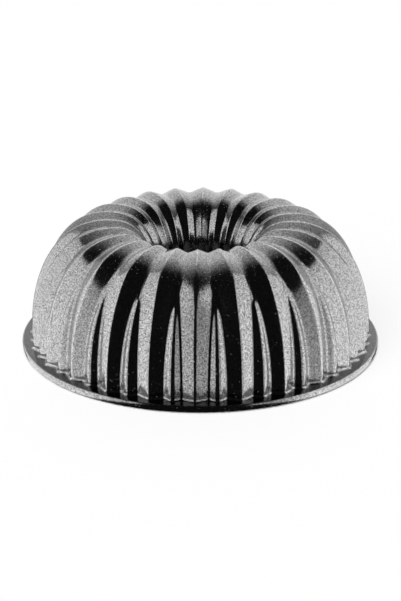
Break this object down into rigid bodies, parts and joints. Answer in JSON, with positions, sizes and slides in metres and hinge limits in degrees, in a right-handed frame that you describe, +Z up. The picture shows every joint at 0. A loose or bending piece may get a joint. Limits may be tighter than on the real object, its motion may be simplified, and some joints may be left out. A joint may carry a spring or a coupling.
{
  "type": "fluted ring cake mould",
  "caption": "Ring cake mould with a lobed outer wall, pointed ribs between the lobes, a rounded crown, an open centre tube and a flat rim flange; shapes a ring cake as it bakes.",
  "frame": {"origin": "centre of the rim's flat rest face, with the mould lying mouth down", "axes": "+Z up along the mould's axis from the rim to the crown; -Y through the crest of one lobe; +X to the right of someone looking along +Y"},
  "size_m": [0.26, 0.26, 0.0925],
  "materials": {
    "coated_casting": "cast aluminium under a glossy grey non-stick coat with fine light and dark speckles"
  },
  "bodies": {
    "root": {"rim_flange": "coated_casting", "fluted_wall": "coated_casting", "fluted_crown": "coated_casting", "centre_tube": "coated_casting"}
  },
  "joints": []
}
